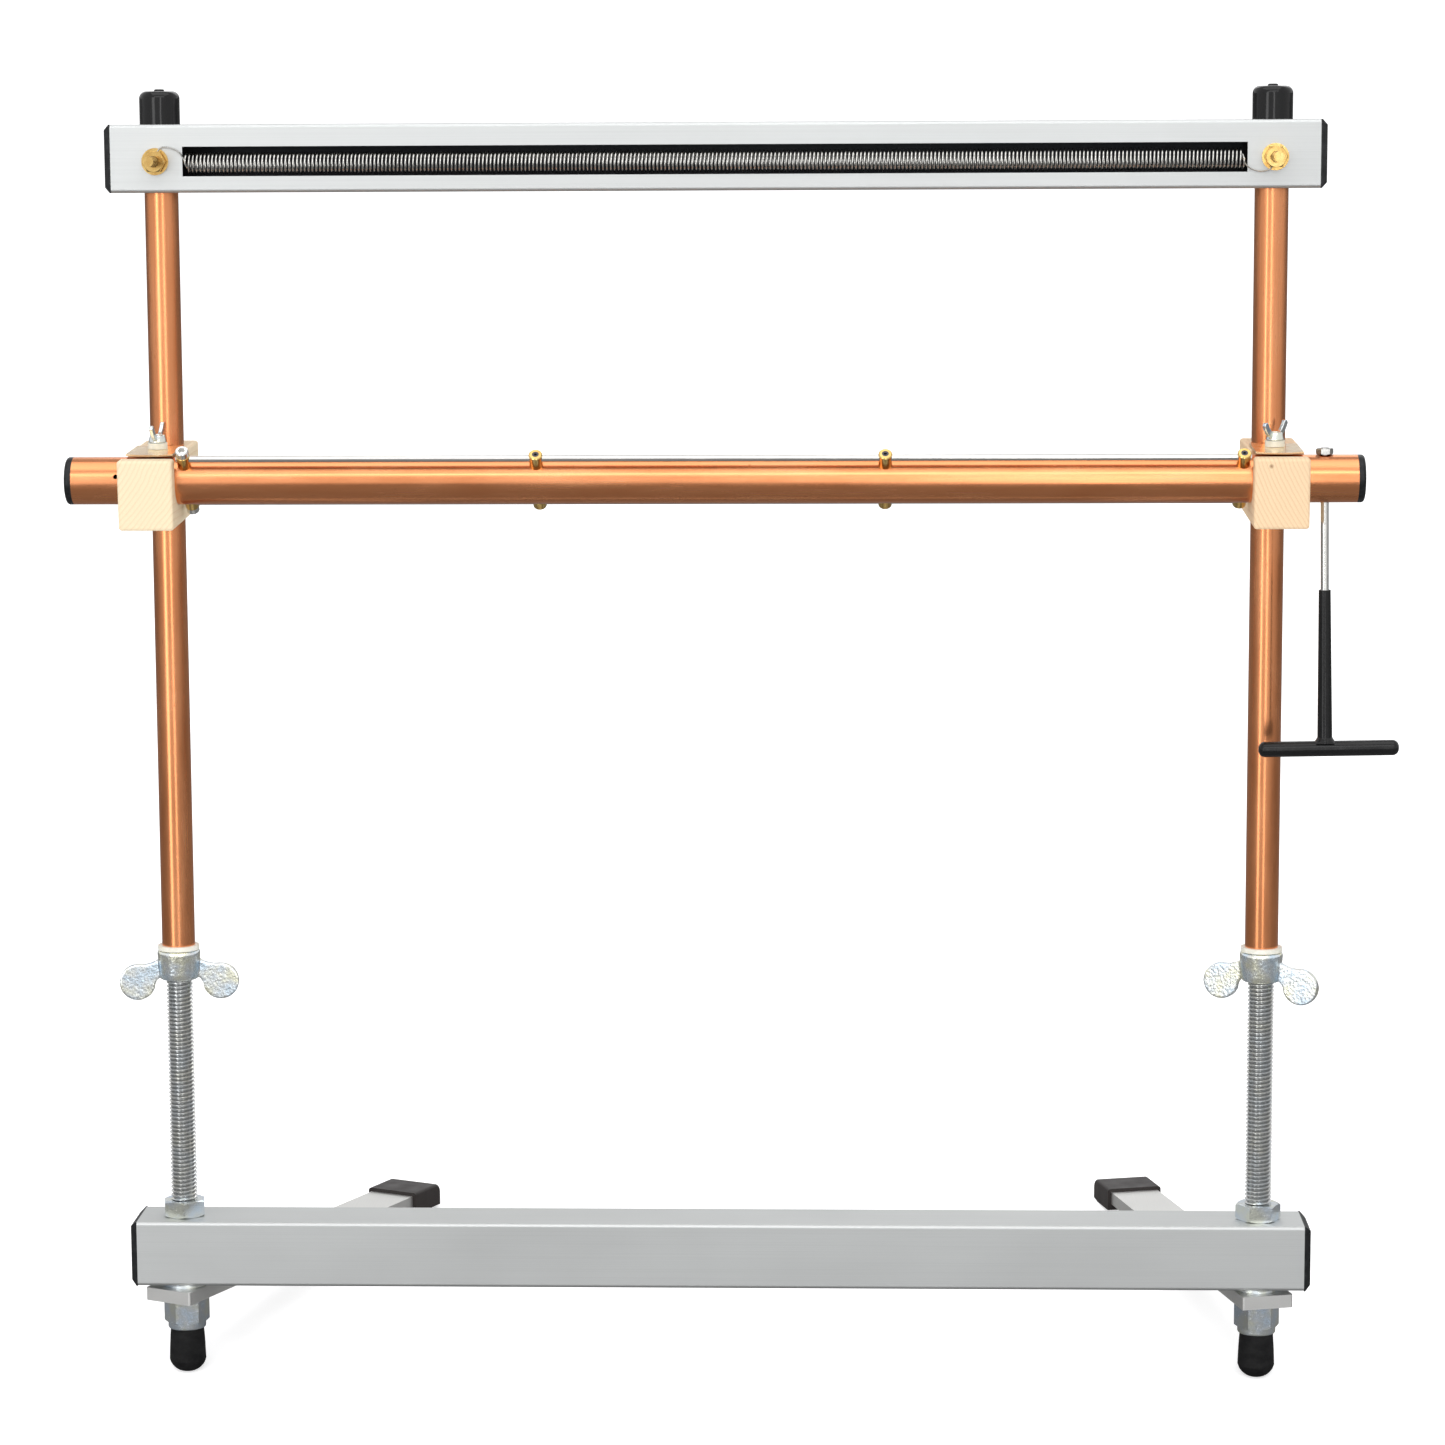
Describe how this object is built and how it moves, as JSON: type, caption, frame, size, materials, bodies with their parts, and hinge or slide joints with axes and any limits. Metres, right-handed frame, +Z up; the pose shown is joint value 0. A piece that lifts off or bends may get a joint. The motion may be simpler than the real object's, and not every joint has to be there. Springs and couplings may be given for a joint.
{
  "type": "loom",
  "caption": "Leaning tabletop tapestry loom: aluminium beams on copper side pipes and threaded rods, with a turning shedding bar and folding rear legs.",
  "frame": {"origin": "on the floor, at the centre of the whole loom's footprint box", "axes": "+Z up from the floor, +X to the weaver's right, +Y away from the weaver; the pipes lean back 9.6 degrees from +Z towards +Y"},
  "size_m": [0.6212, 0.232, 0.6126],
  "materials": {
    "beam_aluminium": "satin extruded",
    "bar_aluminium": "satin flat bar with bright sheared ends",
    "black_plug": "moulded, slightly glossy",
    "copper_pipe": "polished copper, lacquered",
    "copper_tube": "polished copper with faint draw lines",
    "zinc_rod": "zinc-plated thread",
    "zinc_nut": "bright zinc",
    "cast_zinc": "rough cast, zinc-plated",
    "white_nylon": "translucent white nylon",
    "black_rubber": "matt",
    "black_vinyl": "dipped vinyl, soft gloss",
    "brass": "turned brass",
    "spring_steel": "bright drawn wire",
    "spring_bronze": "bright spring strip",
    "maple": "sanded, unfinished end grain",
    "bright_steel": "bright plated",
    "dark_steel": "black oxide"
  },
  "bodies": {
    "base": {"bottom_beam": "beam_aluminium", "bottom_beam_end_plugs": "black_plug", "threaded_rod_left": "zinc_rod", "threaded_rod_right": "zinc_rod", "rod_hex_nuts": "zinc_nut", "leg_washers": "zinc_nut", "lock_nuts": "zinc_nut", "lock_nut_inserts": "white_nylon", "rubber_feet": "black_rubber"},
    "leg_left": {"leg_left": "bar_aluminium", "leg_cap_left": "black_vinyl"},
    "leg_right": {"leg_right": "bar_aluminium", "leg_cap_right": "black_vinyl"},
    "upper_frame": {"top_beam": "beam_aluminium", "top_beam_end_plugs": "black_plug", "side_pipe_left": "copper_pipe", "side_pipe_right": "copper_pipe", "pipe_caps": "black_vinyl", "beam_screws": "brass", "beam_screw_nuts": "brass", "beam_screw_washers": "brass", "warp_coil": "spring_steel", "pipe_washers": "white_nylon"},
    "wing_nut_left": {"wing_nut_left": "cast_zinc"},
    "wing_nut_right": {"wing_nut_right": "cast_zinc"},
    "shed_carriage": {"clamp_block_left": "maple", "clamp_block_right": "maple", "hold_down_straps": "spring_bronze", "clamp_screws": "zinc_nut", "clamp_spacers": "white_nylon"},
    "clamp_wing_nut_left": {"clamp_wing_nut_left": "cast_zinc"},
    "clamp_wing_nut_right": {"clamp_wing_nut_right": "cast_zinc"},
    "shed_bar": {"shed_tube": "copper_tube", "shed_tube_end_caps": "black_plug", "heddle_posts": "brass", "heddle_rod_upper": "bright_steel", "heddle_rod_lower": "bright_steel", "post_set_screws": "dark_steel", "post_cap_screws": "bright_steel", "handle_shaft": "bright_steel", "handle_nut": "bright_steel", "handle_grip": "black_vinyl"}
  },
  "joints": [
    {"name": "leg_left_fold", "type": "hinge", "parent": "base", "child": "leg_left", "pos_m": [-0.27019, -0.09618, 0.0398], "axis": [0, 0.1668, 0.986], "range_deg": [-65, 40]},
    {"name": "leg_right_fold", "type": "hinge", "parent": "base", "child": "leg_right", "pos_m": [0.25191, -0.09618, 0.0398], "axis": [0, 0.1668, 0.986], "range_deg": [-50, 75.8]},
    {"name": "frame_lift", "type": "slide", "parent": "base", "child": "upper_frame", "axis": [0, 0.1668, 0.986], "range_m": [-0.09, 0.09]},
    {"name": "wing_nut_left_turn", "type": "hinge", "parent": "upper_frame", "child": "wing_nut_left", "pos_m": [-0.27019, -0.06925, 0.19904], "axis": [0, 0.1668, 0.986], "range_deg": [-16600, 16600]},
    {"name": "wing_nut_right_turn", "type": "hinge", "parent": "upper_frame", "child": "wing_nut_right", "pos_m": [0.25191, -0.06925, 0.19904], "axis": [0, 0.1668, 0.986], "range_deg": [-16600, 16600]},
    {"name": "shed_slide", "type": "slide", "parent": "upper_frame", "child": "shed_carriage", "axis": [0, 0.1668, 0.986], "range_m": [-0.09, 0.095]},
    {"name": "clamp_wing_nut_left_turn", "type": "hinge", "parent": "shed_carriage", "child": "clamp_wing_nut_left", "pos_m": [-0.27134, -0.04647, 0.45537], "axis": [0, 0.1149, 0.9934], "range_deg": [-30, 720]},
    {"name": "clamp_wing_nut_right_turn", "type": "hinge", "parent": "shed_carriage", "child": "clamp_wing_nut_right", "pos_m": [0.25306, -0.04647, 0.45537], "axis": [0, 0.1149, 0.9934], "range_deg": [-30, 720]},
    {"name": "shed_bar_turn", "type": "hinge", "parent": "shed_carriage", "child": "shed_bar", "pos_m": [-0.00914, -0.06901, 0.44028], "axis": [-1, 0, 0], "range_deg": [-6, 180]}
  ],
  "couplings": [
    {"joint": "wing_nut_left_turn", "follows": "frame_lift", "rad_per_m": 3215.8},
    {"joint": "wing_nut_right_turn", "follows": "frame_lift", "rad_per_m": 3215.8}
  ]
}
